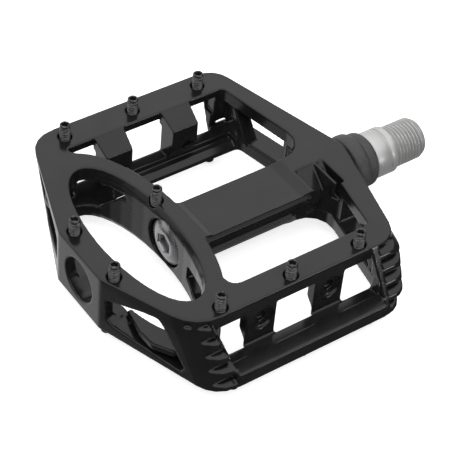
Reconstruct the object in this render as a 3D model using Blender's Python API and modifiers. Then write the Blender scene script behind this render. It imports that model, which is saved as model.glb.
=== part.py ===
"""Flat bicycle pedal: a cast platform with grip pins that turns on a threaded spindle.

Frame: metres, +X along the spindle towards the crank, +Z out of the upper tread, origin on the
spindle's axis at the middle of the pedal's length. Lengths below are millimetres, in the
platform's own coordinates, whose x = 0 is the line of the two middle pins.

Half a turn about the spindle brings the casting's upper side onto its lower one, so a feature at
(x, y, z) comes back at (x, -y, -z). The posts' inner sides and the inboard end's ring pin differ.
"""

import math

import bmesh
import bpy
from mathutils import Matrix, Vector

MM = 0.001
GAP = 0.3                      # clearance between neighbouring pieces

# Platform casting
TREAD_Z = 10.4                 # half the casting's thickness
FLANGE_Z = 5.4                 # inner face of the upper and lower frames
OUTER_END = 49.8               # outboard end face
HUB_END = 49.8                 # inboard end of the hub
FACET_Y = 11.7                 # half the width of the outboard end face
LONG_EDGE_Y = 53.2             # the upper frame's far edge; the near one is SHORT_EDGE_Y
SHORT_EDGE_Y = 42.3
LONG_RAIL_Y = 42.75            # inner edges of the same two rails
SHORT_RAIL_Y = 33.6
SIDE_LEFT = -27.0              # the open stretch between the grooved corner blocks
SIDE_RIGHT = 28.4
RAIL_STEP_Z = 7.3              # underside of the rails along the opening

# Oval opening at the outboard end, and the ring wall round it
OVAL_X = -30.3
OVAL_RX = 11.6
OVAL_RY = 32.4
RIM_Z = 3.7                    # how far down the upper frame's lip at the oval reaches
RING_X = -31.5
RING_RX = 19.5
RING_RY = 41.0
END_HOLE_R = 7.4

# Spindle tube across the platform
SPINE_TOP_Z = 9.1
HUB_R = 9.6
HUB_START = 29.0

# Tread pins: (x, y) on the upper tread
PIN_PLACES = {
    "long_rail_outboard": (-25.5, 48.2),
    "long_rail_middle": (0.0, 48.2),
    "long_rail_inboard": (25.5, 48.2),
    "short_rail_outboard": (-25.5, -38.9),
    "short_rail_middle": (0.0, -38.9),
    "short_rail_inboard": (25.6, -38.9),
    "end_long_side": (-45.4, 9.6),
    "end_short_side": (-45.4, -12.7),
}
RING_PIN_PLACE = (-16.7, 8.7)
PIN_R = 1.8
PIN_TIP_Z = 15.5
PIN_FOOT_Z = 8.3
PIN_NECK_R = 1.4
PIN_SEAT_R = 2.4
PIN_SEAT_DEPTH = 1.0
PIN_SOCKET_R = 1.0

# Reflector posts: middle of each, and the screw hole through it
POST_X = (-12.3, 13.0)
POST_WIDTH = 11.0
POST_HOLE_R = 1.8
POST_HOLE_Z = 0.7
POST_SEAT_R = 4.0
POST_TAPER = 1.4

# Grip slots on the corner blocks
SLOT_LEVELS = (-7.8, -3.75, 0.3, 4.4, 8.5)
SLOT_HALF = 1.5
SLOT_DEPTH = 2.5
BLOCK_CORNER_R = 4.5           # corner radius of the inboard blocks between the frames
BLOCK_BULGE = 1.7              # how far they stand out beyond the frames' corners

# Spindle, from the crank end to the nut end
THREAD_END = 80.9
THREAD_START = 68.7
THREAD_R = 7.145               # 9/16 inch
THREAD_PITCH = 1.27            # 20 threads an inch
THREAD_DEPTH = 0.6
RUN_OUT_R = 7.2                # where the thread ends at the collar
COLLAR_END = 68.1
COLLAR_START = 59.6
COLLAR_R = 8.0
COLLAR_GROOVE_X = 65.4
WRENCH_FLAT = 7.5              # half of the 15 mm across the collar's flats
SEAL_LAND_R = 6.5
JOURNAL_R = 6.0
JOURNAL_START = 33.3
JOURNAL_END = 45.7
SHOULDER_X = -5.9
SHOULDER_R = 4.5
BEARING_SEAT_R = 3.5
BEARING_SEAT_END = -11.4
NUT_THREAD_R = 3.0
SPINDLE_NUT_END = -14.9
KEY_R = 3.46                   # corner radius of a 6 mm hexagon socket
KEY_DEPTH = 7.0

# Outboard cartridge bearing, 7 x 14 x 5
BEARING_X = -8.7
BEARING_HALF = 2.5
BEARING_R = 7.0
OUTER_RACE_IN_R = 5.9
INNER_RACE_OUT_R = 4.6
INNER_RACE_R = BEARING_SEAT_R + GAP
BALL_PITCH_R = 5.25
BALL_R = 1.0
BALL_COUNT = 7
RACEWAY_R = 1.28
CAGE_HALF_THICKNESS = 0.25
CAGE_HALF_WIDTH = 0.8
SHIELD_THICKNESS = 0.35

# Inboard bush and rubber boot
BUSH_R = 7.5
BUSH_IN_R = JOURNAL_R + GAP
BUSH_START = 33.6
BUSH_END = 45.4
BOOT_SPIGOT_X = 47.3
BOOT_END = 59.3
BOOT_IN_R = SEAL_LAND_R + GAP
BOOT_R = 10.2
BOOT_LIP_R = 9.2

# Nut end
WASHER_R = 5.2
WASHER_FACE = -11.5
WASHER_END = -12.1
NUT_FACE = -12.4
NUT_END = -14.8
NUT_R = 5.77                   # corner radius of a 10 mm hexagon
CAP_FACE = -19.2
CAP_HEAD_R = 7.7
CAP_NOSE_R = 4.2
CAP_HEAD_BACK = -16.6
CAP_INNER_FACE = -15.2
CAP_SKIRT_R = 7.2
CAP_SKIRT_IN_R = 6.2
CAP_SKIRT_END = -12.3
CAP_KEY_DEPTH = 2.8
RING_SEAL_SECTION = 0.35       # section radius of the ring under the cap's head

ORIGIN_X = (THREAD_END - OUTER_END) / 2.0

# Collections

def new_collection(name):
    collection = bpy.data.collections.new(name)
    bpy.context.scene.collection.children.link(collection)
    return collection


for old in list(bpy.data.objects):
    bpy.data.objects.remove(old, do_unlink=True)

PEDAL = new_collection("flat_pedal")
OPENINGS = new_collection("openings")
ADDITIONS = new_collection("additions")
BORES = new_collection("bores")


def anchor(name, parent=None):
    """An empty on the spindle's axis at the platform's x = 0."""
    empty = bpy.data.objects.new(name, None)
    PEDAL.objects.link(empty)
    if parent:
        empty.parent = parent
    else:
        empty.location.x = -ORIGIN_X * MM
    return empty


SPINDLE_AXIS = anchor("spindle_axis")
PLATFORM_AXIS = anchor("platform_axis", SPINDLE_AXIS)
CAGE_AXIS = anchor("cage_axis", SPINDLE_AXIS)

# Meshes

def welded(mesh):
    """Merges coincident points and turns every face outwards."""
    work = bmesh.new()
    work.from_mesh(mesh)
    bmesh.ops.remove_doubles(work, verts=work.verts, dist=1e-6)
    bmesh.ops.dissolve_degenerate(work, dist=1e-7, edges=work.edges)
    bmesh.ops.recalc_face_normals(work, faces=work.faces)
    work.to_mesh(mesh)
    work.free()
    return mesh


def evaluated_mesh(obj):
    """The object's shape as a mesh of its own, after which the object is removed."""
    graph = bpy.context.evaluated_depsgraph_get()
    mesh = bpy.data.meshes.new_from_object(obj.evaluated_get(graph))
    bpy.data.objects.remove(obj, do_unlink=True)
    return welded(mesh)


AXES = {
    "Z": Matrix.Identity(4),
    "X": Matrix(((0, 0, 1, 0), (1, 0, 0, 0), (0, 1, 0, 0), (0, 0, 0, 1))),
    "Y": Matrix(((1, 0, 0, 0), (0, 0, -1, 0), (0, 1, 0, 0), (0, 0, 0, 1))),
}


def prism(outline, low, high, axis="Z"):
    """A flat outline extruded from low to high along an axis, in millimetres.

    The outline is in (x, y) for Z, in (y, z) for X and in (x, z) for Y.
    """
    curve = bpy.data.curves.new("outline", "CURVE")
    curve.dimensions = "2D"
    curve.fill_mode = "BOTH"
    curve.extrude = (high - low) / 2.0 * MM
    spline = curve.splines.new("POLY")
    spline.points.add(len(outline) - 1)
    for point, (u, v) in zip(spline.points, outline):
        point.co = (u * MM, v * MM, 0.0, 1.0)
    spline.use_cyclic_u = True
    guide = bpy.data.objects.new("outline", curve)
    bpy.context.scene.collection.objects.link(guide)
    mesh = evaluated_mesh(guide)
    bpy.data.curves.remove(curve)
    middle = (low + high) / 2.0 * MM
    shift = {"X": (middle, 0, 0), "Y": (0, middle, 0), "Z": (0, 0, middle)}[axis]
    mesh.transform(Matrix.Translation(shift) @ AXES[axis])
    return mesh


def turned(profile, steps=24):
    """A profile of (x, radius) points turned about the spindle's axis.

    The points run along the outer side towards -X, and a ring's come back along its bore.
    """
    mesh = bpy.data.meshes.new("profile")
    work = bmesh.new()
    points = [work.verts.new((radius * MM, 0.0, x * MM)) for x, radius in profile]
    for start, end in zip(points, points[1:]):
        work.edges.new((start, end))
    if min(radius for _, radius in profile) > 0:
        work.edges.new((points[-1], points[0]))
    work.to_mesh(mesh)
    work.free()
    guide = bpy.data.objects.new("profile", mesh)
    bpy.context.scene.collection.objects.link(guide)
    screw = guide.modifiers.new("turn", "SCREW")
    screw.axis = "Z"
    screw.steps = screw.render_steps = steps
    screw.use_merge_vertices = True
    screw.merge_threshold = 1e-6
    result = evaluated_mesh(guide)
    bpy.data.meshes.remove(mesh)
    result.transform(AXES["X"])
    return result


def cylinder(radius, low, high, centre=(0.0, 0.0), axis="Z", sides=24):
    """A cylinder or regular bar between low and high along an axis."""
    points = []
    for i in range(sides):
        angle = 2.0 * math.pi * (i + 0.5) / sides
        points.append((centre[0] + radius * math.cos(angle), centre[1] + radius * math.sin(angle)))
    return prism(points, low, high, axis)


def loft(levels):
    """A solid through outlines of equally many points, as (height, outline) from the lowest up."""
    mesh = bpy.data.meshes.new("loft")
    work = bmesh.new()
    rings = [[work.verts.new((x * MM, y * MM, z * MM)) for x, y in outline] for z, outline in levels]
    work.faces.new(reversed(rings[0]))
    work.faces.new(rings[-1])
    count = len(rings[0])
    for below, above in zip(rings, rings[1:]):
        for i in range(count):
            j = (i + 1) % count
            work.faces.new((below[i], below[j], above[j], above[i]))
    work.to_mesh(mesh)
    work.free()
    return welded(mesh)


def half_turn(mesh):
    """A copy of the mesh after half a turn about the spindle."""
    copy = mesh.copy()
    copy.transform(Matrix.Rotation(math.pi, 4, "X"))
    return copy


# Outlines

def rounded(corners, steps=4):
    """Points of a closed outline whose corners (x, y, radius) are rounded."""
    points = []
    count = len(corners)
    for i, (x, y, radius) in enumerate(corners):
        corner = Vector((x, y))
        if radius == 0:
            points.append((x, y))
            continue
        back = (Vector(corners[i - 1][:2]) - corner).normalized()
        ahead = (Vector(corners[(i + 1) % count][:2]) - corner).normalized()
        half = back.angle(ahead) / 2.0
        centre = corner + (back + ahead).normalized() * (radius / math.sin(half))
        start = corner + back * (radius / math.tan(half)) - centre
        turn = start.angle_signed(corner + ahead * (radius / math.tan(half)) - centre)
        for step in range(steps + 1):
            angle = -turn * step / steps
            spoke = Matrix.Rotation(angle, 2) @ start
            points.append(tuple(centre + spoke))
    return points


def oval(x, rx, ry, low=0.0, high=360.0, steps=36):
    """Points of an ellipse about (x, 0), between two angles in degrees."""
    angles = [math.radians(low + (high - low) * i / steps) for i in range(steps + 1)]
    if high - low >= 360.0:
        angles.pop()
    return [(x + rx * math.cos(a), ry * math.sin(a)) for a in angles]


# Nodes and cutters

def node(name, mesh, parent, material):
    """One piece of the pedal, shaded smooth except at its sharp edges."""
    mesh.name = name
    mesh.materials.clear()
    mesh.materials.append(material)
    mesh.shade_smooth()
    mesh.set_sharp_from_angle(angle=math.radians(35))
    obj = bpy.data.objects.new(name, mesh)
    obj.parent = parent
    PEDAL.objects.link(obj)
    return obj


def helper(collection, name, mesh):
    """A shape that a Boolean uses and that isn't a piece itself."""
    obj = bpy.data.objects.new(name, mesh)
    obj.parent = PLATFORM_AXIS
    obj.hide_render = True
    obj.display_type = "WIRE"
    collection.objects.link(obj)


def both_sides(collection, name, mesh):
    helper(collection, name, mesh)
    helper(collection, name + "_turned", half_turn(mesh))


def combine(obj, operation, collection):
    modifier = obj.modifiers.new(collection.name, "BOOLEAN")
    modifier.operation = operation
    modifier.operand_type = "COLLECTION"
    modifier.collection = collection
    modifier.solver = "EXACT"


def finish(name, colour, roughness, metallic):
    material = bpy.data.materials.new(name)
    material.use_nodes = True
    shader = material.node_tree.nodes["Principled BSDF"]
    shader.inputs["Base Color"].default_value = (*colour, 1.0)
    shader.inputs["Roughness"].default_value = roughness
    shader.inputs["Metallic"].default_value = metallic
    return material


BLACK_PAINT = (0.012, 0.012, 0.013)
BLACK_OXIDE = (0.02, 0.02, 0.021)
STEEL = (0.62, 0.62, 0.61)

# Casting

def frame_outline():
    """The upper tread's outline; the lower one is its half turn."""
    return [
        (HUB_END - 0.2, 0.0, 3.0),
        (35.2, LONG_EDGE_Y, 8.0),
        (-35.1, LONG_EDGE_Y, 10.0),
        (-OUTER_END, FACET_Y, 3.0),
        (-OUTER_END, -FACET_Y, 3.0),
        (-36.4, -SHORT_EDGE_Y, 14.0),
        (38.1, -SHORT_EDGE_Y, 9.0),
    ]


def level_outline(z, inset=0.0, tight=False):
    """The casting's outline at a height, with tighter inboard corners between the frames."""
    upper = frame_outline()
    lower = [upper[0]] + [(x, -y, r) for x, y, r in reversed(upper[1:])]
    share = (z + TREAD_Z) / (2.0 * TREAD_Z)
    shrink = 1.0 - inset / LONG_EDGE_Y
    corners = []
    for (x0, y0, r0), (x1, y1, r1) in zip(lower, upper):
        x = x0 + (x1 - x0) * share
        y = y0 + (y1 - y0) * share
        radius = r0 + (r1 - r0) * share
        if tight and x > 30.0 and abs(y) > 30.0:
            radius = BLOCK_CORNER_R
            x += BLOCK_BULGE
        corners.append((x * shrink, y * shrink, radius))
    return rounded(corners)


def block():
    """The solid between the upper and the lower outline."""
    levels = [(z, level_outline(z)) for z in (-TREAD_Z, -8.6)]
    levels += [(z, level_outline(z, tight=True)) for z in (-6.0, 6.0)]
    levels += [(z, level_outline(z)) for z in (8.6, TREAD_Z)]
    return loft(levels)


def ring_edge(low, high):
    """Points along the ring wall's inboard face, between two angles that are multiples of 5."""
    points = oval(RING_X, RING_RX, RING_RY, low, high, round((high - low) / 5.0))
    return [(x, y, 0.0) for x, y in reversed(points)]


def tread_opening():
    """The upper frame's opening, between the ring wall, the two rails, the arms and the hub."""
    corners = ring_edge(-45.0, 75.0) + [
        (-17.9, -SHORT_RAIL_Y, 3.5),
        (33.6, -SHORT_RAIL_Y, 2.0),
        (37.8, -13.8, 1.0),
        (28.2, -13.8, 0.5),
        (28.2, 4.5, 0.5),
        (39.4, 4.5, 8.0),
        (31.9, LONG_RAIL_Y, 2.0),
        (-29.0, LONG_RAIL_Y, 1.0),
    ]
    return prism(rounded(corners), FLANGE_Z - 0.6, TREAD_Z + 2.0)


def middle_opening():
    """Between the two frames, all is open but the walls and the hub."""
    corners = ring_edge(-65.0, 65.0) + [
        (-24.0, -43.2, 1.0),
        (34.5, -43.2, 1.0),
        (38.4, -14.5, 2.5),
        (35.0, -8.8, 2.0),
        (26.0, -8.8, 0.5),
        (26.0, 8.8, 0.5),
        (35.0, 8.8, 2.0),
        (38.4, 14.5, 2.5),
        (34.5, 43.2, 1.0),
        (-24.0, 43.2, 1.0),
    ]
    return prism(rounded(corners, 3), -FLANGE_Z, FLANGE_Z)


def side_opening():
    """The open side between the corner blocks, whose inner edges lean, and beside the short rail."""
    corners = [
        (SIDE_LEFT + 0.7, -FLANGE_Z, 1.2),
        (SIDE_RIGHT + 0.5, -FLANGE_Z, 1.2),
        (SIDE_RIGHT - 0.5, FLANGE_Z, 1.2),
        (SIDE_LEFT - 2.2, FLANGE_Z, 1.2),
    ]
    return prism(rounded(corners, 3), -SHORT_EDGE_Y - 1.0, -30.0, "Y")


def short_rail_face():
    """All outside the upper short rail's upright outer face, down to the long rail below it."""
    outline = [
        (SIDE_LEFT + 0.7, -FLANGE_Z),
        (SIDE_RIGHT + 0.5, -FLANGE_Z),
        (SIDE_RIGHT - 1.0, TREAD_Z + 2.0),
        (SIDE_LEFT - 4.5, TREAD_Z + 2.0),
    ]
    return prism(outline, -LONG_EDGE_Y - 5.0, -SHORT_EDGE_Y, "Y")


def long_rail_step():
    """The upper long rail's thinner strip along the opening."""
    return prism([(47.3, 0.0), (47.3, RAIL_STEP_Z), (41.0, RAIL_STEP_Z), (41.0, 0.0)], -27.0, 29.5, "X")


def short_rail_step():
    """The channel under the upper short rail, with a slanted side towards the opening."""
    section = [(-37.8, 0.0), (-37.8, RAIL_STEP_Z), (-35.6, RAIL_STEP_Z), (-33.2, 9.2), (-33.2, 0.0)]
    return prism(section, -13.0, 32.5, "X")


def long_rail_side():
    """What makes the lower long rail's outer face upright."""
    face = -LONG_EDGE_Y
    foot = -TREAD_Z + 0.01
    section = [(face, foot), (face, -FLANGE_Z), (face + 4.0, -FLANGE_Z), (face + 4.0, foot)]
    return prism(section, SIDE_LEFT, SIDE_RIGHT, "X")


def arm_window():
    """The opening through an arm, from its hub end to the corner block."""
    corners = [(33.0, 16.2, 0.0), (58.0, 16.2, 0.0), (58.0, 42.4, 0.0), (33.0, 42.4, 0.0)]
    return prism(rounded(corners), -FLANGE_Z, FLANGE_Z)


def end_cavity():
    """The hollow round the oval opening, between the two frames."""
    corners = [
        (-46.2, -10.9, 2.0),
        (-46.2, 10.9, 2.0),
        (-36.2, 37.2, 2.0),
        (-22.0, 37.2, 0.5),
        (-22.0, 31.0, 0.5),
        (-30.3, 21.0, 0.0),
        (-30.3, -21.0, 0.0),
        (-22.0, -31.0, 0.5),
        (-22.0, -37.2, 0.5),
        (-36.2, -37.2, 2.0),
    ]
    return prism(rounded(corners, 4), -FLANGE_Z, FLANGE_Z)


def ring_window(long_side):
    """The opening through the ring wall near one end of the oval, in (y, z)."""
    if long_side:
        corners = [(19.0, 5.3), (19.0, 3.6), (21.9, 2.8), (29.2, -5.3), (37.0, -5.3), (37.0, 5.3)]
    else:
        corners = [(-14.2, 2.4), (-21.0, 3.2), (-27.0, 5.3), (-37.0, 5.3), (-37.0, -5.3)]
        corners += [(-19.2, -5.3), (-14.0, -2.4)]
    outline = rounded([(y, z, 0.4) for y, z in corners], 2)
    return prism(outline, OVAL_X, -12.0, "X")


def oval_chamfer():
    """The softened upper edge of the oval's inboard side."""
    lower = oval(OVAL_X, OVAL_RX - 0.02, OVAL_RY - 0.02)
    upper = oval(OVAL_X + 0.8, OVAL_RX + 0.9, OVAL_RY + 0.3)
    return loft([(8.0, lower), (TREAD_Z + 0.4, upper)])


def oval_rim():
    """The lower lip of the upper frame between the oval and the outboard facet."""
    edge = [(x, y, 0.0) for x, y in oval(OVAL_X, OVAL_RX, OVAL_RY, 90.0, 152.0, 8)]
    corners = edge + [(-41.9, 15.2, 0.0), (-43.7, 24.2, 2.0), (-43.2, 30.5, 2.0), (-39.4, 36.6, 0.0)]
    return prism(rounded(corners + [(-33.0, 38.0, 0.0)]), RIM_Z, FLANGE_Z + 0.5)


def facet_window():
    """The window in the outboard facet on the short side of the upper tread."""
    corners = [
        (2.4, 3.0, 0.5),
        (14.9, 5.9, 2.0),
        (20.8, 6.6, 2.0),
        (28.0, -2.4, 2.0),
        (31.5, -6.5, 0.8),
        (30.2, -8.5, 0.8),
        (5.2, -6.3, 1.0),
        (2.6, -4.5, 1.0),
    ]
    mesh = prism(rounded(corners, 3), -6.0, 8.7, "Y")
    lean = math.atan2(LONG_EDGE_Y - FACET_Y, OUTER_END - 36.4)
    turn = Matrix.Rotation(-lean, 4, "Z")
    corner = Matrix.Translation((-OUTER_END * MM, -FACET_Y * MM, 0.0))
    mesh.transform(corner @ turn)
    return mesh


def spine():
    """The tube round the spindle, a slanted bar from the ring wall to the hub."""
    section = [
        (-12.9, TREAD_Z - 0.01, 0.0),
        (-5.9, -7.0, 1.0),
        (-4.4, -TREAD_Z + 0.01, 0.0),
        (12.9, -TREAD_Z + 0.01, 0.0),
        (5.9, 7.0, 1.0),
        (4.4, TREAD_Z - 0.01, 0.0),
    ]
    return prism(rounded(section, 3), -15.5, 31.0, "X")


def spine_recess():
    """The shallow recess along the spine's upper face, with a ramp at each end."""
    side = [(-13.0, TREAD_Z + 0.4), (-9.6, SPINE_TOP_Z), (24.0, SPINE_TOP_Z), (28.2, TREAD_Z + 0.4)]
    return prism(side, -13.4, 5.2, "Y")


def spine_groove():
    """The long shallow groove in the spine's slanted side."""
    section = [(-12.6, 4.4), (-9.2, 4.4), (-8.0, -1.2), (-12.6, -1.2)]
    return prism(section, -9.5, 27.0, "X")


def hub_pocket(start, end, depth):
    """A pocket beside the spindle's bore, with a steep side down to its floor."""
    top = TREAD_Z + 2.0
    floor = TREAD_Z - depth
    section = [(-2.3, top), (-2.3, TREAD_Z - 0.3), (-11.3, floor), (-14.2, floor - 0.4), (-14.2, top)]
    return prism(section, start, end, "X")


def rib():
    """The slanting rib across an arm's window."""
    reach = FLANGE_Z + 0.6
    return prism([(29.0, -reach), (37.6, reach), (41.8, reach), (33.6, -reach)], 33.2, 38.3, "X")


def long_side_post(x):
    """A reflector post on the long side of the upper tread, with its tab, in (y, z)."""
    section = [
        (43.6, 9.9, 0.0),
        (42.6, 10.1, 0.3),
        (35.0, 7.4, 0.3),
        (35.0, 0.6, 0.5),
        (37.2, -FLANGE_Z - 0.5, 0.0),
        (SHORT_EDGE_Y, -FLANGE_Z - 0.5, 0.0),
        (SHORT_EDGE_Y, FLANGE_Z - 0.4, 0.0),
        (43.6, FLANGE_Z - 0.2, 0.0),
    ]
    edge = x + POST_WIDTH / 2.0
    bar = prism(rounded(section, 2), x - POST_WIDTH / 2.0, edge, "X")
    side = [(edge - POST_TAPER, 34.0), (edge + 1.0, 34.0), (edge + 1.0, SHORT_EDGE_Y), (edge, SHORT_EDGE_Y)]
    return carved(bar, [prism(side, -FLANGE_Z - 1.0, TREAD_Z + 1.0)])


def short_side_post(x):
    """A reflector post on the short side, a plain web down to the lower long rail, in (y, z)."""
    section = [
        (-38.8, FLANGE_Z + 0.5, 0.0),
        (-SHORT_EDGE_Y, FLANGE_Z + 0.5, 0.0),
        (-SHORT_EDGE_Y, -7.0, 0.3),
        (-43.6, -7.6, 0.0),
        (-43.6, -8.6, 0.0),
        (-41.4, -8.6, 0.0),
        (-41.4, -5.4, 0.6),
        (-38.8, -2.4, 0.6),
    ]
    return prism(rounded(section, 2), x - POST_WIDTH / 2.0, x + POST_WIDTH / 2.0, "X")


def post_hole(x, end):
    """A screw hole into a short side's post, as far as a y."""
    return cylinder(POST_HOLE_R, -SHORT_EDGE_Y - 2.0, end, (x + 0.6, POST_HOLE_Z), "Y", 16)


def slot_floor(z):
    """Where the slanting front of the upper tread's short side is at a height."""
    lean = (LONG_EDGE_Y - SHORT_EDGE_Y) / (2.0 * TREAD_Z)
    return -(LONG_EDGE_Y + SHORT_EDGE_Y) / 2.0 + z * lean


def slot(level, left, right):
    """One straight grip slot with slanting sides across a corner block."""
    section = [
        (-LONG_EDGE_Y - 8.0, level - SLOT_HALF),
        (slot_floor(level - SLOT_HALF) - 0.3, level - SLOT_HALF),
        (slot_floor(level) + SLOT_DEPTH, level - 0.4),
        (slot_floor(level) + SLOT_DEPTH, level + 0.1),
        (slot_floor(level + SLOT_HALF) - 0.3, level + SLOT_HALF),
        (-LONG_EDGE_Y - 8.0, level + SLOT_HALF),
    ]
    return prism(section, left, right, "X")


def corner_groove(level):
    """The groove that runs round the outboard corner just under the upper tread."""
    low = level - 0.8
    high = level + 0.8
    blank = prism([(-60.0, -60.0), (-36.0, -60.0), (-36.0, -38.0), (-60.0, -38.0)], low, high)
    core = loft([(low - 0.1, level_outline(low, 1.0)), (high + 0.1, level_outline(high, 1.0))])
    return carved(blank, [core])


def casting():
    body = node("pedal_body", block(), PLATFORM_AXIS, finish("black_paint", BLACK_PAINT, 0.25, 0.0))
    both_sides(OPENINGS, "tread_opening", tread_opening())
    helper(OPENINGS, "middle_opening", middle_opening())
    both_sides(OPENINGS, "side_opening", side_opening())
    both_sides(OPENINGS, "short_rail_face", short_rail_face())
    both_sides(OPENINGS, "long_rail_step", long_rail_step())
    both_sides(OPENINGS, "short_rail_step", short_rail_step())
    both_sides(OPENINGS, "arm_window", arm_window())
    helper(OPENINGS, "end_cavity", end_cavity())
    helper(OPENINGS, "oval_opening",
           prism(oval(OVAL_X, OVAL_RX, OVAL_RY), -TREAD_Z - 2.0, TREAD_Z + 2.0))
    both_sides(OPENINGS, "oval_chamfer", oval_chamfer())
    helper(OPENINGS, "ring_window_long", ring_window(True))
    helper(OPENINGS, "ring_window_short", ring_window(False))
    both_sides(OPENINGS, "facet_window", facet_window())
    helper(OPENINGS, "end_hole", cylinder(END_HOLE_R, -OUTER_END - 5.0, OVAL_X, axis="X", sides=32))
    for i, level in enumerate(SLOT_LEVELS):
        edge = SIDE_LEFT - 1.1 - 0.37 * level
        both_sides(OPENINGS, f"slot_outboard_{i}", slot(level, -60.0, edge))
        both_sides(OPENINGS, f"slot_inboard_{i}", slot(level, SIDE_RIGHT + 2.3, 60.0))
    both_sides(OPENINGS, "corner_groove", corner_groove(SLOT_LEVELS[-1]))

    helper(ADDITIONS, "spine", spine())
    helper(ADDITIONS, "hub", cylinder(HUB_R, HUB_START, HUB_END, axis="X", sides=32))
    both_sides(ADDITIONS, "rib", rib())
    both_sides(ADDITIONS, "long_rail_side", long_rail_side())
    both_sides(ADDITIONS, "oval_rim", oval_rim())
    for i, x in enumerate(POST_X):
        helper(ADDITIONS, f"long_side_post_{i}", long_side_post(x))
        helper(ADDITIONS, f"short_side_post_{i}", short_side_post(x))

    both_sides(BORES, "spine_recess", spine_recess())
    both_sides(BORES, "spine_groove", spine_groove())
    both_sides(BORES, "hub_pocket", hub_pocket(28.4, 35.7, 8.3))
    both_sides(BORES, "arm_pocket", hub_pocket(36.7, 39.2, 8.0))
    helper(BORES, "spindle_bore", bore())
    for i, x in enumerate(POST_X):
        helper(BORES, f"post_hole_{i}", post_hole(x, -SHORT_EDGE_Y + 2.6))
        helper(BORES, f"through_hole_{i}", half_turn(post_hole(x, -33.0)))
        both_sides(BORES, f"post_seat_{i}",
                   cylinder(POST_SEAT_R, -SHORT_EDGE_Y - 2.0, -SHORT_EDGE_Y + 1.2,
                            (x + 0.6, POST_HOLE_Z), "Y", 20))
    for name, (x, y) in PIN_PLACES.items():
        both_sides(BORES, "seat_" + name, pin_seat(x, y))
    helper(BORES, "seat_ring_wall", pin_seat(*RING_PIN_PLACE))
    combine(body, "DIFFERENCE", OPENINGS)
    combine(body, "UNION", ADDITIONS)
    combine(body, "DIFFERENCE", BORES)
    return body


def bore():
    """The stepped bore for the boot, bush, spindle, bearing and cap."""
    cap_head = CAP_HEAD_R + 0.5
    bearing = BEARING_R + GAP
    steps = [
        (HUB_END + 2.0, 0.0),
        (HUB_END + 2.0, 8.9),
        (BOOT_SPIGOT_X - GAP, 8.9),
        (BOOT_SPIGOT_X - GAP, BUSH_R + GAP),
        (BUSH_START - GAP, BUSH_R + GAP),
        (BUSH_START - GAP, JOURNAL_R + 0.4),
        (SHOULDER_X, JOURNAL_R + 0.1),
        (SHOULDER_X, bearing),
        (CAP_SKIRT_END + 0.5, bearing),
        (CAP_SKIRT_END + 0.5, CAP_SKIRT_R + GAP),
        (CAP_HEAD_BACK + GAP, CAP_SKIRT_R + GAP),
        (CAP_HEAD_BACK + GAP, cap_head),
        (OVAL_X, cap_head),
        (OVAL_X, 0.0),
    ]
    return turned(steps)


def pin_seat(x, y):
    """A pin's hole with its round seat in the upper tread."""
    profile = [
        (TREAD_Z + 2.0, 0.0),
        (TREAD_Z + 2.0, PIN_SEAT_R),
        (TREAD_Z - PIN_SEAT_DEPTH, PIN_SEAT_R),
        (TREAD_Z - PIN_SEAT_DEPTH, PIN_R + GAP),
        (PIN_FOOT_Z - GAP, PIN_R + GAP),
        (PIN_FOOT_Z - GAP, 0.0),
    ]
    mesh = turned(profile, 12)
    mesh.transform(Matrix.Translation((x * MM, y * MM, 0.0)) @ AXES["X"].inverted())
    return mesh


# Pins

def pin_mesh():
    """A grip pin: threaded shank, waist, round-edged tip and hexagon socket."""
    profile = [
        (PIN_TIP_Z, 0.0),
        (PIN_TIP_Z, PIN_R - 0.5),
        (PIN_TIP_Z - 0.5, PIN_R),
        (PIN_TIP_Z - 2.0, PIN_R),
        (PIN_TIP_Z - 2.4, PIN_NECK_R),
        (PIN_TIP_Z - 2.8, PIN_R),
        (PIN_FOOT_Z, PIN_R),
        (PIN_FOOT_Z, 0.0),
    ]
    shape = turned(profile, 12)
    shape.transform(AXES["X"].inverted())
    socket = cylinder(PIN_SOCKET_R, PIN_TIP_Z - 1.5, PIN_TIP_Z + 1.0, sides=6)
    return carved(shape, [socket])


def carved(mesh, cutters):
    """The mesh with cutters taken out of it."""
    obj = bpy.data.objects.new("blank", mesh)
    bpy.context.scene.collection.objects.link(obj)
    tools = []
    for cutter in cutters:
        tool = bpy.data.objects.new("tool", cutter)
        bpy.context.scene.collection.objects.link(tool)
        modifier = obj.modifiers.new("cut", "BOOLEAN")
        modifier.operation = "DIFFERENCE"
        modifier.solver = "EXACT"
        modifier.object = tool
        tools.append(tool)
    result = evaluated_mesh(obj)
    for tool in tools:
        bpy.data.objects.remove(tool, do_unlink=True)
    return result


def tread_pins():
    material = finish("black_oxide", BLACK_OXIDE, 0.4, 0.6)
    upper = pin_mesh()
    lower = half_turn(upper)
    for name, (x, y) in PIN_PLACES.items():
        top = node("pin_upper_" + name, upper, PLATFORM_AXIS, material)
        top.location = (x * MM, y * MM, 0.0)
        under = node("pin_lower_" + name, lower, PLATFORM_AXIS, material)
        under.location = (x * MM, -y * MM, 0.0)
    ring_pin = node("pin_upper_ring_wall", upper, PLATFORM_AXIS, material)
    ring_pin.location = (RING_PIN_PLACE[0] * MM, RING_PIN_PLACE[1] * MM, 0.0)


# Spindle and its bearings

def thread(start, end, radius, depth, pitch):
    """Ridges of a screw thread, drawn as rings, from start down to end."""
    count = int((start - end) / pitch)
    points = []
    for i in range(count):
        crest = start - i * pitch
        points.append((crest - 0.25 * pitch, radius))
        points.append((crest - 0.45 * pitch, radius))
        points.append((crest - 0.85 * pitch, radius - depth))
    return points


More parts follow.
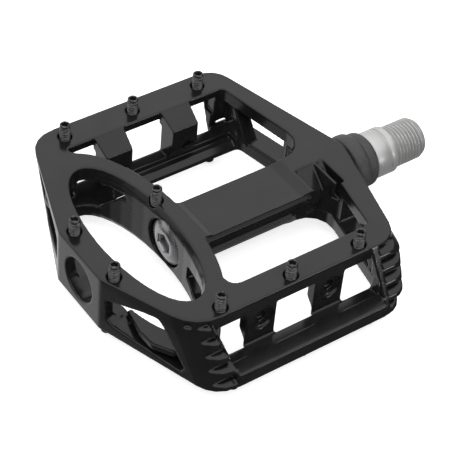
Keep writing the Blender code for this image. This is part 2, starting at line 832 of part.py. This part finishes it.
def spindle():
    profile = [
        (THREAD_END, 0.0),
        (THREAD_END, THREAD_R - 0.8),
        (THREAD_END - 0.3, THREAD_R - THREAD_DEPTH),
    ]
    profile += thread(THREAD_END - 0.3, THREAD_START, THREAD_R, THREAD_DEPTH, THREAD_PITCH)
    profile += [
        (THREAD_START + 0.2, THREAD_R - THREAD_DEPTH),
        (COLLAR_END + 0.2, RUN_OUT_R),
        (COLLAR_END, RUN_OUT_R),
        (COLLAR_END, COLLAR_R - 0.1),
        (COLLAR_END - 0.1, COLLAR_R),
        (COLLAR_GROOVE_X + 0.25, COLLAR_R),
        (COLLAR_GROOVE_X + 0.25, COLLAR_R - 0.3),
        (COLLAR_GROOVE_X - 0.25, COLLAR_R - 0.3),
        (COLLAR_GROOVE_X - 0.25, COLLAR_R),
        (COLLAR_START + 0.3, COLLAR_R),
        (COLLAR_START, COLLAR_R - 0.3),
        (COLLAR_START, SEAL_LAND_R),
        (JOURNAL_END + 0.3, SEAL_LAND_R),
        (JOURNAL_END, JOURNAL_R),
        (JOURNAL_START, JOURNAL_R),
        (SHOULDER_X + 1.0, SHOULDER_R),
        (SHOULDER_X, SHOULDER_R),
        (SHOULDER_X, BEARING_SEAT_R),
        (BEARING_SEAT_END, BEARING_SEAT_R),
        (BEARING_SEAT_END, NUT_THREAD_R),
        (SPINDLE_NUT_END + 0.4, NUT_THREAD_R),
        (SPINDLE_NUT_END, NUT_THREAD_R - 0.4),
        (SPINDLE_NUT_END, 0.0),
    ]
    socket = cylinder(KEY_R, THREAD_END - KEY_DEPTH, THREAD_END + 1.0, axis="X", sides=6)
    flats = [
        prism([(-12, side * WRENCH_FLAT), (12, side * WRENCH_FLAT), (12, side * 12), (-12, side * 12)],
              COLLAR_GROOVE_X + 0.25, COLLAR_END + 0.2, "X")
        for side in (1, -1)
    ]
    shape = carved(turned(profile), [socket] + flats)
    node("spindle", shape, SPINDLE_AXIS, finish("steel", STEEL, 0.3, 1.0))


def raceway(side_x, radius):
    """Points of the round groove that the balls run in, cut into a race at a radius."""
    reach = math.sqrt(RACEWAY_R ** 2 - (radius - BALL_PITCH_R) ** 2)
    start = math.atan2(reach, abs(radius - BALL_PITCH_R))
    sign = 1.0 if radius > BALL_PITCH_R else -1.0
    points = []
    for i in range(5):
        angle = start * (1.0 - i / 2.0) * side_x
        points.append((BEARING_X + RACEWAY_R * math.sin(angle),
                       BALL_PITCH_R + sign * RACEWAY_R * math.cos(angle)))
    return points


def bearing():
    high = BEARING_X + BEARING_HALF
    low = BEARING_X - BEARING_HALF
    steel = finish("bearing_steel", (0.5, 0.5, 0.5), 0.2, 1.0)
    outer = [(high, OUTER_RACE_IN_R), (high, BEARING_R), (low, BEARING_R), (low, OUTER_RACE_IN_R)]
    outer += raceway(-1.0, OUTER_RACE_IN_R)
    node("bearing_outer_race", turned(outer), PLATFORM_AXIS, steel)
    inner = [(high, INNER_RACE_OUT_R)] + raceway(1.0, INNER_RACE_OUT_R)
    inner += [(low, INNER_RACE_OUT_R), (low, INNER_RACE_R), (high, INNER_RACE_R)]
    node("bearing_inner_race", turned(inner), SPINDLE_AXIS, steel)
    node("bearing_ball_cage", ball_cage(), CAGE_AXIS, finish("cage_brass", (0.6, 0.42, 0.15), 0.35, 1.0))
    seal = finish("bearing_seal", (0.03, 0.03, 0.03), 0.6, 0.0)
    for name, face in (("inboard", high), ("outboard", low + SHIELD_THICKNESS)):
        ring = [
            (face, INNER_RACE_OUT_R + 0.25),
            (face, OUTER_RACE_IN_R - 0.2),
            (face - SHIELD_THICKNESS, OUTER_RACE_IN_R - 0.2),
            (face - SHIELD_THICKNESS, INNER_RACE_OUT_R + 0.25),
        ]
        node("bearing_shield_" + name, turned(ring), PLATFORM_AXIS, seal)


def ball_cage():
    """Balls in a ring, which go round together between the races."""
    mesh = turned([
        (BEARING_X + CAGE_HALF_WIDTH, BALL_PITCH_R - CAGE_HALF_THICKNESS),
        (BEARING_X + CAGE_HALF_WIDTH, BALL_PITCH_R + CAGE_HALF_THICKNESS),
        (BEARING_X - CAGE_HALF_WIDTH, BALL_PITCH_R + CAGE_HALF_THICKNESS),
        (BEARING_X - CAGE_HALF_WIDTH, BALL_PITCH_R - CAGE_HALF_THICKNESS),
    ])
    ring = bpy.data.objects.new("cage_ring", mesh)
    bpy.context.scene.collection.objects.link(ring)
    balls = []
    for i in range(BALL_COUNT):
        angle = 2.0 * math.pi * (i + 0.37) / BALL_COUNT
        place = Vector((BEARING_X, BALL_PITCH_R * math.cos(angle), BALL_PITCH_R * math.sin(angle))) * MM
        shape = bpy.data.meshes.new("ball")
        work = bmesh.new()
        bmesh.ops.create_uvsphere(work, u_segments=8, v_segments=6, radius=BALL_R * MM,
                                  matrix=Matrix.Translation(place))
        work.to_mesh(shape)
        work.free()
        ball = bpy.data.objects.new("ball", shape)
        bpy.context.scene.collection.objects.link(ball)
        modifier = ring.modifiers.new("ball", "BOOLEAN")
        modifier.operation = "UNION"
        modifier.solver = "EXACT"
        modifier.object = ball
        balls.append(ball)
    result = evaluated_mesh(ring)
    for ball in balls:
        bpy.data.objects.remove(ball, do_unlink=True)
    return result


def bush():
    profile = [(BUSH_END, BUSH_IN_R), (BUSH_END, BUSH_R), (BUSH_START, BUSH_R), (BUSH_START, BUSH_IN_R)]
    node("inboard_bush", turned(profile), PLATFORM_AXIS, finish("bronze", (0.5, 0.33, 0.14), 0.35, 1.0))


def boot():
    """Two-ringed rubber boot over the hub's inboard end."""
    face = HUB_END + GAP
    profile = [
        (BOOT_END, BOOT_IN_R),
        (BOOT_END, BOOT_LIP_R - 0.8),
        (BOOT_END - 0.6, BOOT_LIP_R - 0.1),
        (BOOT_END - 1.6, BOOT_LIP_R),
        (BOOT_END - 3.0, BOOT_LIP_R),
        (BOOT_END - 3.8, BOOT_LIP_R - 0.2),
        (BOOT_END - 4.4, BOOT_R - 0.5),
        (BOOT_END - 5.4, BOOT_R),
        (face + 1.2, BOOT_R),
        (face + 0.3, BOOT_R - 0.3),
        (face, BOOT_R - 0.9),
        (face, 8.6),
        (BOOT_SPIGOT_X, 8.6),
        (BOOT_SPIGOT_X, BOOT_IN_R),
    ]
    node("rubber_boot", turned(profile), PLATFORM_AXIS, finish("boot_rubber", (0.02, 0.02, 0.02), 0.5, 0.0))


def nut_end():
    """Washer, lock nut, end cap and the cap's sealing ring."""
    washer = [
        (WASHER_FACE, NUT_THREAD_R + GAP),
        (WASHER_FACE, WASHER_R),
        (WASHER_END, WASHER_R),
        (WASHER_END, NUT_THREAD_R + GAP),
    ]
    zinc = finish("zinc", (0.55, 0.55, 0.52), 0.35, 1.0)
    node("lock_washer", turned(washer), SPINDLE_AXIS, zinc)

    blank = cylinder(NUT_R, NUT_END, NUT_FACE, axis="X", sides=6)
    hole = cylinder(NUT_THREAD_R + GAP, NUT_END - 1.0, NUT_FACE + 1.0, axis="X", sides=24)
    node("lock_nut", carved(blank, [hole]), SPINDLE_AXIS, zinc)

    cap = [
        (CAP_SKIRT_END, CAP_SKIRT_IN_R),
        (CAP_SKIRT_END, CAP_SKIRT_R),
        (CAP_HEAD_BACK + 0.9, CAP_SKIRT_R),
        (CAP_HEAD_BACK + 0.9, CAP_SKIRT_R - 0.8),
        (CAP_HEAD_BACK, CAP_SKIRT_R - 0.8),
        (CAP_HEAD_BACK, CAP_HEAD_R),
        (CAP_FACE + 1.2, CAP_HEAD_R),
        (CAP_FACE, CAP_NOSE_R),
        (CAP_FACE, 0.0),
    ]
    cap = [(CAP_INNER_FACE, 0.0), (CAP_INNER_FACE, CAP_SKIRT_IN_R)] + cap
    key = cylinder(KEY_R, CAP_FACE - 1.0, CAP_FACE + CAP_KEY_DEPTH, axis="X", sides=6)
    shape = carved(turned(cap), [key])
    node("end_cap", shape, PLATFORM_AXIS, finish("cap_aluminium", (0.42, 0.42, 0.43), 0.3, 1.0))

    centre_x = CAP_HEAD_BACK + 0.45
    centre_r = CAP_SKIRT_R - 0.8 + GAP + RING_SEAL_SECTION - 0.15
    ring = []
    for i in range(6):
        angle = 2.0 * math.pi * i / 6
        ring.append((centre_x - RING_SEAL_SECTION * math.sin(angle) * 0.6,
                     centre_r + RING_SEAL_SECTION * math.cos(angle)))
    node("cap_sealing_ring", turned(ring), PLATFORM_AXIS,
         finish("ring_rubber", (0.02, 0.02, 0.02), 0.5, 0.0))


casting()
tread_pins()
spindle()
bearing()
bush()
boot()
nut_end()
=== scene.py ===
"""Looks for the flat pedal: a softened skin over the casting, threaded pins and spindle, and finishes.

Everything stands in the CAD frame, which is in metres. Lengths written below are millimetres, and
places along the spindle are taken from the CAD pieces that the new ones stand for.
"""

import math
import random

import bmesh
import bpy
from mathutils import Matrix, Vector


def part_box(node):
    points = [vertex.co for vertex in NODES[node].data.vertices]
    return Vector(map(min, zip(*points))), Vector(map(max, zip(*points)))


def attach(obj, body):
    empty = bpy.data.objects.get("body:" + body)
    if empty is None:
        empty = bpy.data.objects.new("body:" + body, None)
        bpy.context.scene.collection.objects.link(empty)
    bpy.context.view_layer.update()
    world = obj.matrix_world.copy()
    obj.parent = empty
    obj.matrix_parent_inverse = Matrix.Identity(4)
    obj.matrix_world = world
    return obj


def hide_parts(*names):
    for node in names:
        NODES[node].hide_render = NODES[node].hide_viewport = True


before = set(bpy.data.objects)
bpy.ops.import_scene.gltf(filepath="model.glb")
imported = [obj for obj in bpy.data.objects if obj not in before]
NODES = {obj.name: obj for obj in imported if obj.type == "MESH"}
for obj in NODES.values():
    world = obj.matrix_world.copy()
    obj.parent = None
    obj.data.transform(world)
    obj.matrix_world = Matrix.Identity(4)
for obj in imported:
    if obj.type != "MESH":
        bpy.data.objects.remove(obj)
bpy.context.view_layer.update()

MM = 0.001
FULL_TURN = 2 * math.pi
TINY = 1e-6
SCENE = bpy.context.scene

# Mesh helpers

SHARP_ANGLE = math.radians(38)


def add(mesh, name):
    obj = bpy.data.objects.new(name, mesh)
    SCENE.collection.objects.link(obj)
    return obj


def stand_for(obj, node, body):
    """Makes a new piece ride on a body in place of a CAD node."""
    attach(obj, body)
    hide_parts(node)


def finished(work, name):
    """The mesh of a closed solid, smooth except over its sharp edges."""
    bmesh.ops.recalc_face_normals(work, faces=work.faces)
    mesh = bpy.data.meshes.new(name)
    work.to_mesh(mesh)
    work.free()
    mesh.shade_smooth()
    mesh.set_sharp_from_angle(angle=SHARP_ANGLE)
    return mesh


def moved(origin, profile):
    """A profile whose places are given from an origin, in places along its axis."""
    return [(origin + place, radius) for place, radius in profile]


def hexagon(across_flats):
    """The radius at an angle of a hexagon, one flat of which faces angle zero."""
    def radius(angle):
        part = (angle + math.pi / 6) % (math.pi / 3) - math.pi / 6
        return across_flats / 2 / math.cos(part)
    return radius


def stations_mesh(name, stations, steps, axis="X"):
    """A closed solid through rings at (place, radius); a radius is a number or a function of angle.

    The rings run from one end to the other over the outside, and may turn back inwards.
    """
    work = bmesh.new()

    def corner(place, u, v):
        point = (place, u, v) if axis == "X" else (u, v, place)
        return work.verts.new(tuple(c * MM for c in point))

    rings = []
    for place, radius in stations:
        ring = []
        for i in range(steps):
            angle = FULL_TURN * i / steps
            r = radius(angle) if callable(radius) else radius
            ring.append(corner(place, r * math.cos(angle), r * math.sin(angle)))
        rings.append(ring)
    for a, b in zip(rings, rings[1:]):
        for i in range(steps):
            j = (i + 1) % steps
            work.faces.new((a[i], a[j], b[j], b[i]))
    for ring, place in ((rings[0], stations[0][0]), (rings[-1], stations[-1][0])):
        hub = corner(place, 0, 0)
        for i in range(steps):
            work.faces.new((ring[i], ring[(i + 1) % steps], hub))
    return finished(work, name)


def ring_mesh(name, profile, steps):
    """A ring, its closed profile of (place, radius) points turned about the spindle's axis."""
    work = bmesh.new()
    loops = []
    for i in range(steps):
        angle = FULL_TURN * i / steps
        c, s = math.cos(angle), math.sin(angle)
        loops.append([work.verts.new((x * MM, r * c * MM, r * s * MM)) for x, r in profile])
    count = len(profile)
    for i in range(steps):
        a, b = loops[i], loops[(i + 1) % steps]
        for k in range(count):
            m = (k + 1) % count
            work.faces.new((a[k], a[m], b[m], b[k]))
    return finished(work, name)


def softened(profile, radius, steps=4):
    """A closed profile with its corners rounded."""
    longest_cut = 0.45
    nearly_straight = 0.1
    result = []
    for i, point in enumerate(profile):
        here = Vector(point)
        back = Vector(profile[i - 1]) - here
        ahead = Vector(profile[(i + 1) % len(profile)]) - here
        cut = min(radius, back.length * longest_cut, ahead.length * longest_cut)
        if min(back.length, ahead.length) < TINY or abs(back.angle(ahead) - math.pi) < nearly_straight:
            result.append(point)
            continue
        start, end = here + back.normalized() * cut, here + ahead.normalized() * cut
        for k in range(steps + 1):
            t = k / steps
            result.append(tuple(start * (1 - t) ** 2 + here * 2 * t * (1 - t) + end * t ** 2))
    return result


def thread_radius(place, start, end, pitch, major, minor, run_out):
    """The radius function of a helical thread at a place along its axis."""
    steepness, root = 1.5, 0.2
    fade = min(1.0, max(0.0, (place - start) / run_out), max(0.0, (end - place) / run_out))

    def radius(angle):
        phase = ((place - start) / pitch - angle / FULL_TURN) % 1.0
        rise = 1.0 - abs(2 * phase - 1)
        crest = min(1.0, max(0.0, rise * steepness - root))
        return minor + (major - minor) * crest * fade
    return radius


# Finishes

NOISE_LOW, NOISE_HIGH = 0.3, 0.7


def material(name):
    made = bpy.data.materials.new(name)
    made.use_nodes = True
    return made, made.node_tree.nodes, made.node_tree.links


def noise(nodes, links, scale, detail=4.0, stretch=None):
    texture = nodes.new("ShaderNodeTexNoise")
    texture.inputs["Scale"].default_value = scale
    texture.inputs["Detail"].default_value = detail
    place = nodes.new("ShaderNodeTexCoord")
    if stretch:
        mapping = nodes.new("ShaderNodeMapping")
        mapping.inputs["Scale"].default_value = stretch
        links.new(place.outputs["Object"], mapping.inputs["Vector"])
        links.new(mapping.outputs["Vector"], texture.inputs["Vector"])
    else:
        links.new(place.outputs["Object"], texture.inputs["Vector"])
    return texture.outputs["Fac"]


def ranged(nodes, links, value, ends, smooth=False):
    """Maps a value from one range onto another; ends are the low and high end of each."""
    node = nodes.new("ShaderNodeMapRange")
    if smooth:
        node.interpolation_type = "SMOOTHSTEP"
    for name, end in zip(("From Min", "From Max", "To Min", "To Max"), ends):
        node.inputs[name].default_value = end
    links.new(value, node.inputs["Value"])
    return node.outputs["Result"]


def spread(nodes, links, value, low, high):
    """Maps a noise value from its middle range onto low to high."""
    return ranged(nodes, links, value, (NOISE_LOW, NOISE_HIGH, low, high))


def tinted(nodes, links, value, dark, light):
    mix = nodes.new("ShaderNodeMix")
    mix.data_type = "RGBA"
    mix.inputs["A"].default_value = (*dark, 1)
    mix.inputs["B"].default_value = (*light, 1)
    links.new(spread(nodes, links, value, 0.0, 1.0), mix.inputs["Factor"])
    return mix.outputs["Result"]


def bumped(nodes, links, shader, value, strength, depth):
    bump = nodes.new("ShaderNodeBump")
    bump.inputs["Strength"].default_value = strength
    bump.inputs["Distance"].default_value = depth * MM
    links.new(value, bump.inputs["Height"])
    links.new(bump.outputs["Normal"], shader.inputs["Normal"])


def painted_casting():
    """Gloss black paint over a cast surface: fine orange peel, slightly uneven gloss."""
    made, nodes, links = material("painted_casting")
    shader = nodes["Principled BSDF"]
    broad = noise(nodes, links, scale=90.0, detail=3.0)
    fine = noise(nodes, links, scale=1500.0, detail=5.0)
    tint = tinted(nodes, links, broad, dark=(0.007, 0.007, 0.007), light=(0.011, 0.011, 0.0112))
    links.new(tint, shader.inputs["Base Color"])
    links.new(spread(nodes, links, fine, low=0.15, high=0.19), shader.inputs["Roughness"])
    shader.inputs["IOR"].default_value = 1.5
    bumped(nodes, links, shader, fine, strength=0.02, depth=0.004)
    return made


def blackened_pin():
    """Black-oxide steel, rubbed brighter in patches."""
    made, nodes, links = material("blackened_pin")
    shader = nodes["Principled BSDF"]
    patches = noise(nodes, links, scale=900.0, detail=6.0)
    tint = tinted(nodes, links, patches, dark=(0.05, 0.05, 0.051), light=(0.16, 0.16, 0.162))
    links.new(tint, shader.inputs["Base Color"])
    links.new(spread(nodes, links, patches, low=0.26, high=0.36), shader.inputs["Roughness"])
    shader.inputs["Metallic"].default_value = 0.9
    bumped(nodes, links, shader, noise(nodes, links, scale=5000.0), strength=0.15, depth=0.01)
    return made


def turned_steel(name, base, rough, lines, metallic=1.0):
    """Turned metal: fine rings round the spindle's axis in gloss, tint and relief."""
    darker, uneven, across = 0.86, 0.07, 12.0
    made, nodes, links = material(name)
    shader = nodes["Principled BSDF"]
    rings = noise(nodes, links, scale=1.0, detail=3.0, stretch=(lines, across, across))
    tint = tinted(nodes, links, rings, dark=[c * darker for c in base], light=base)
    links.new(tint, shader.inputs["Base Color"])
    links.new(spread(nodes, links, rings, rough - uneven, rough + uneven), shader.inputs["Roughness"])
    shader.inputs["Metallic"].default_value = metallic
    bumped(nodes, links, shader, rings, strength=0.12, depth=0.006)
    return made


def moulded_rubber(name, grey):
    darker, lighter = 0.75, 1.2
    made, nodes, links = material(name)
    shader = nodes["Principled BSDF"]
    grain = noise(nodes, links, scale=1200.0, detail=6.0)
    tint = tinted(nodes, links, grain, dark=[grey * darker] * 3, light=[grey * lighter] * 3)
    links.new(tint, shader.inputs["Base Color"])
    links.new(spread(nodes, links, grain, low=0.42, high=0.56), shader.inputs["Roughness"])
    bumped(nodes, links, shader, grain, strength=0.3, depth=0.03)
    return made


CASTING = painted_casting()
PIN = blackened_pin()
STEEL = turned_steel("satin_steel", base=(0.64, 0.64, 0.635), rough=0.42, lines=3500.0, metallic=0.75)
CAP = turned_steel("turned_cap", base=(0.42, 0.42, 0.43), rough=0.24, lines=2500.0, metallic=0.9)
BEARING_STEEL = turned_steel("ground_steel", base=(0.6, 0.6, 0.6), rough=0.2, lines=2500.0)
ZINC = turned_steel("zinc_plate", base=(0.58, 0.58, 0.55), rough=0.3, lines=1500.0)
BRASS = turned_steel("cage_brass", base=(0.62, 0.44, 0.16), rough=0.33, lines=1500.0)
BRONZE = turned_steel("bush_bronze", base=(0.5, 0.33, 0.15), rough=0.36, lines=1500.0)
RUBBER = moulded_rubber("moulded_rubber", grey=0.042)
SEAL = moulded_rubber("bearing_seal", grey=0.022)

# Pieces inside, which keep their CAD shapes

for name, finish in (("bearing_outer_race", BEARING_STEEL), ("bearing_inner_race", BEARING_STEEL),
                     ("bearing_ball_cage", BRASS), ("bearing_shield_inboard", SEAL),
                     ("bearing_shield_outboard", SEAL), ("inboard_bush", BRONZE),
                     ("lock_washer", ZINC), ("lock_nut", ZINC), ("cap_sealing_ring", SEAL)):
    NODES[name].data.materials.clear()
    NODES[name].data.materials.append(finish)

# Casting

SKIN_VOXEL = 0.35
SKIN_SOFTENING = 0.5
SKIN_PASSES = 6


def cast_skin():
    """The casting with every edge softened, as a painted casting's are."""
    skin = add(NODES["pedal_body"].data.copy(), "cast_platform")
    remesh = skin.modifiers.new("skin", "REMESH")
    remesh.mode = "VOXEL"
    remesh.voxel_size = SKIN_VOXEL * MM
    remesh.use_smooth_shade = True
    flat = skin.modifiers.new("flat", "SHRINKWRAP")
    flat.wrap_method = "NEAREST_SURFACEPOINT"
    flat.target = NODES["pedal_body"]
    soften = skin.modifiers.new("soften", "SMOOTH")
    soften.factor = SKIN_SOFTENING
    soften.iterations = SKIN_PASSES
    graph = bpy.context.evaluated_depsgraph_get()
    mesh = bpy.data.meshes.new_from_object(skin.evaluated_get(graph))
    skin.modifiers.clear()
    skin.data = mesh
    mesh.materials.clear()
    mesh.materials.append(CASTING)
    mesh.shade_smooth()
    stand_for(skin, "pedal_body", "platform")


cast_skin()

# Pins

PIN_LOW, PIN_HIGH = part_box("pin_upper_ring_wall")
PIN_FOOT, PIN_TIP = PIN_LOW.z / MM, PIN_HIGH.z / MM
PIN_FOOT_R = 1.2
PIN_RIM_R = 1.75
PIN_KEY = 2.0
PIN_THREAD = {"pitch": 1.0, "major": 1.8, "minor": 1.3, "run_out": 0.4}
PIN_STATIONS_PER_PITCH = 8
PIN_STEPS = 48
PIN_TURNS_SEED = 7


def pin_mesh():
    """A grip screw along +Z: helical thread, chamfered rim and hexagon socket."""
    start, end = PIN_FOOT + 0.3, PIN_TIP - 0.75
    stations = [(PIN_FOOT, PIN_FOOT_R)]
    place = start
    while place <= end + TINY:
        stations.append((place, thread_radius(place, start, end, **PIN_THREAD)))
        place += PIN_THREAD["pitch"] / PIN_STATIONS_PER_PITCH
    rim = [(-0.7, 1.5), (-0.62, PIN_RIM_R), (-0.42, PIN_RIM_R), (-0.12, PIN_RIM_R - 0.22),
           (0, PIN_RIM_R - 0.42)]
    socket = [(0, 1.28), (-0.08, 1.2), (-0.25, hexagon(PIN_KEY)), (-1.8, hexagon(PIN_KEY)), (-2.3, 0.2)]
    stations += moved(PIN_TIP, rim + socket)
    return stations_mesh("grip_pin", stations, PIN_STEPS, "Z")


def grip_pins():
    """One screw for each pin of the CAD, each left at its own angle."""
    mesh = pin_mesh()
    mesh.materials.append(PIN)
    draw = random.Random(PIN_TURNS_SEED)
    for node in sorted(n for n in NODES if n.startswith("pin_")):
        low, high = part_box(node)
        pin = add(mesh, node.replace("pin_", "grip_pin_"))
        pin.location = ((low.x + high.x) / 2, (low.y + high.y) / 2, 0)
        turn = draw.uniform(0, FULL_TURN)
        pin.rotation_euler = (0 if high.z > 0 else math.pi, 0, turn)
        stand_for(pin, node, "platform")


grip_pins()

# Spindle, boot and cap

SOCKET_KEY = 6.0
WRENCH_FLATS = 15.0
CRANK_THREAD = {"pitch": 1.27, "major": 7.14, "minor": 6.0, "run_out": 0.9}
CRANK_STATIONS_PER_PITCH = 9
SPINDLE_STEPS = 96
BOOT_STEPS = 128
BOOT_CORNER_R = 0.4
CAP_STEPS = 96


def spindle():
    """Socket, chamfer, helical crank thread, grooved collar with wrench flats, and the hidden shaft."""
    low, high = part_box("spindle")
    nut_end, tip = low.x / MM, high.x / MM
    socket = hexagon(SOCKET_KEY)

    def flatted(turned_radius):
        def radius(angle):
            return min(turned_radius, WRENCH_FLATS / 2 / max(TINY, abs(math.sin(angle))))
        return radius

    stations = moved(tip, [
        (-7.2, 1.0), (-6.6, socket), (-0.5, socket), (-0.15, 3.75), (0, 3.9),
        (0, 5.9), (-0.1, 6.1), (-0.6, 6.5)])
    start, end = tip - 12.3, tip - 0.6
    count = int((end - start) / (CRANK_THREAD["pitch"] / CRANK_STATIONS_PER_PITCH))
    for i in range(1, count):
        place = end - i * (end - start) / count
        stations.append((place, thread_radius(place, start, end, **CRANK_THREAD)))
    stations += moved(tip, [
        (-12.5, 6.45), (-12.75, 6.7), (-12.78, flatted(7.6)), (-12.95, flatted(7.9)),
        (-13.1, flatted(8.0)), (-15.15, flatted(8.0)), (-15.25, 7.98), (-15.3, 7.75), (-15.6, 7.68),
        (-15.72, 7.95), (-15.8, 8.0), (-20.9, 8.0), (-21.15, 7.92), (-21.28, 7.7),
        (-21.3, 6.5), (-34.9, 6.5), (-35.2, 6.0), (-47.6, 6.0), (-85.8, 4.5), (-86.8, 4.5),
        (-86.8, 3.5), (-92.3, 3.5), (-92.3, 3.0)])
    stations += moved(nut_end, [(0.4, 3.0), (0, 2.6)])
    obj = add(stations_mesh("spindle", stations, SPINDLE_STEPS), "threaded_spindle")
    obj.data.materials.append(STEEL)
    stand_for(obj, "spindle", "spindle")


def boot():
    """Rubber boot with two rounded rings and a lip."""
    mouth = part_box("rubber_boot")[1].x / MM
    profile = moved(mouth, [
        (0.0, 6.85), (0.0, 8.3), (-0.5, 9.0), (-1.5, 9.2), (-2.8, 9.15), (-3.5, 8.95), (-4.0, 9.4),
        (-4.9, 10.1), (-6.3, 10.2), (-7.9, 10.1), (-8.7, 9.8), (-9.15, 9.3), (-9.15, 8.6),
        (-12.0, 8.6), (-12.0, 6.85)])
    obj = add(ring_mesh("boot", softened(profile, BOOT_CORNER_R), BOOT_STEPS), "ringed_boot")
    obj.data.materials.append(RUBBER)
    stand_for(obj, "rubber_boot", "platform")


def cap():
    """Coned cap with a hexagon socket and a skirt behind its head."""
    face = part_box("end_cap")[0].x / MM
    key = hexagon(SOCKET_KEY)

    def chamfered_key(angle):
        return key(angle) + 0.22

    stations = moved(face, [
        (2.8, 0.3), (2.7, key), (0.35, key), (0.05, chamfered_key), (0, 3.9), (0, 4.2),
        (0.15, 4.9), (1.05, 7.35), (1.2, 7.6), (1.5, 7.7), (2.3, 7.7), (2.55, 7.6), (2.6, 7.4),
        (2.6, 6.4), (3.5, 6.4), (3.5, 7.2), (6.9, 7.2), (6.9, 6.2), (4.0, 6.2), (4.0, 0.3)])
    obj = add(stations_mesh("cap", stations, CAP_STEPS), "socket_cap")
    obj.data.materials.append(CAP)
    stand_for(obj, "end_cap", "platform")


spindle()
boot()
cap()

# Studio

FLOOR_Z = -15.6
FLOOR_SIZE = 6.0
FLOOR_GLOW = 0.75
SKY_OVERHEAD = (0.3, 0.66, 0.03, 1.1)
SKY_BEHIND = (-0.1, 0.8, 0.03, 0.85)


def floor():
    """A pale floor, whose size is in metres, that the pedal's gloss doesn't mirror."""
    bpy.ops.mesh.primitive_plane_add(size=FLOOR_SIZE, location=(0, 0, FLOOR_Z * MM))
    plane = bpy.context.object
    plane.name = "floor"
    made, nodes, _ = material("pale_floor")
    shader = nodes["Principled BSDF"]
    shader.inputs["Base Color"].default_value = (0.8, 0.8, 0.8, 1)
    shader.inputs["Roughness"].default_value = 0.9
    shader.inputs["Emission Color"].default_value = (1, 1, 1, 1)
    shader.inputs["Emission Strength"].default_value = FLOOR_GLOW
    plane.data.materials.append(made)
    plane.visible_glossy = False


def sky():
    """White light that grows overhead and behind the pedal; the brighter of the two counts."""
    world = bpy.data.worlds.new("studio")
    SCENE.world = world
    world.use_nodes = True
    nodes, links = world.node_tree.nodes, world.node_tree.links
    place = nodes.new("ShaderNodeTexCoord")
    split = nodes.new("ShaderNodeSeparateXYZ")
    links.new(place.outputs["Generated"], split.inputs["Vector"])
    brightest = nodes.new("ShaderNodeMath")
    brightest.operation = "MAXIMUM"
    for i, (axis, ends) in enumerate((("Z", SKY_OVERHEAD), ("Y", SKY_BEHIND))):
        links.new(ranged(nodes, links, split.outputs[axis], ends, smooth=True), brightest.inputs[i])
    nodes["Background"].inputs["Color"].default_value = (1, 1, 1, 1)
    links.new(brightest.outputs["Value"], nodes["Background"].inputs["Strength"])


def softbox(name, place, size, power, mirrored=True):
    """An area light aimed at the pedal, in metres and watts.

    One that isn't mirrored doesn't show in the pedal's gloss.
    """
    light = bpy.data.lights.new(name, "AREA")
    light.energy = power
    light.size = size
    obj = bpy.data.objects.new(name, light)
    SCENE.collection.objects.link(obj)
    obj.location = place
    obj.visible_glossy = mirrored
    obj.rotation_euler = (-Vector(place)).to_track_quat("-Z", "Y").to_euler()


CAMERA_TURN, CAMERA_RISE, CAMERA_ROLL = math.radians(-38.263), math.radians(43.549), math.radians(5.263)
CAMERA_DISTANCE = 552.39
CAMERA_RIGHT, CAMERA_UP = 0.533, -0.295
CAMERA_AIM = Vector((-15.55, 0, 0))
LENS_LENGTH, SENSOR_WIDTH = 141.18, 36.0
LENS_SHIFT = (0.01964, -0.00529)
NEAR_CLIP = 10.0


def camera():
    """The three-quarter view from above the outboard end and the short side."""
    level = math.cos(CAMERA_RISE)
    back = Vector((math.sin(CAMERA_TURN) * level, -math.cos(CAMERA_TURN) * level, math.sin(CAMERA_RISE)))
    right = Vector((math.cos(CAMERA_TURN), math.sin(CAMERA_TURN), 0))
    up = back.cross(right)
    c, s = math.cos(CAMERA_ROLL), math.sin(CAMERA_ROLL)
    right, up = right * c + up * s, up * c - right * s
    place = (back * CAMERA_DISTANCE + right * CAMERA_RIGHT + up * CAMERA_UP + CAMERA_AIM) * MM
    lens = bpy.data.cameras.new("camera")
    lens.lens = LENS_LENGTH
    lens.sensor_width = SENSOR_WIDTH
    lens.shift_x, lens.shift_y = LENS_SHIFT
    lens.clip_start = NEAR_CLIP * MM
    obj = bpy.data.objects.new("camera", lens)
    SCENE.collection.objects.link(obj)
    rotation = Matrix((right, up, back)).transposed().to_4x4()
    obj.matrix_world = Matrix.Translation(place) @ rotation
    SCENE.camera = obj


floor()
sky()
softbox("top_box", (-0.1, -0.1, 0.7), size=0.6, power=2.5, mirrored=False)
softbox("front_box", (0.29, -0.57, 0.1), size=0.12, power=0.35)
camera()
SCENE.view_settings.view_transform = "Standard"
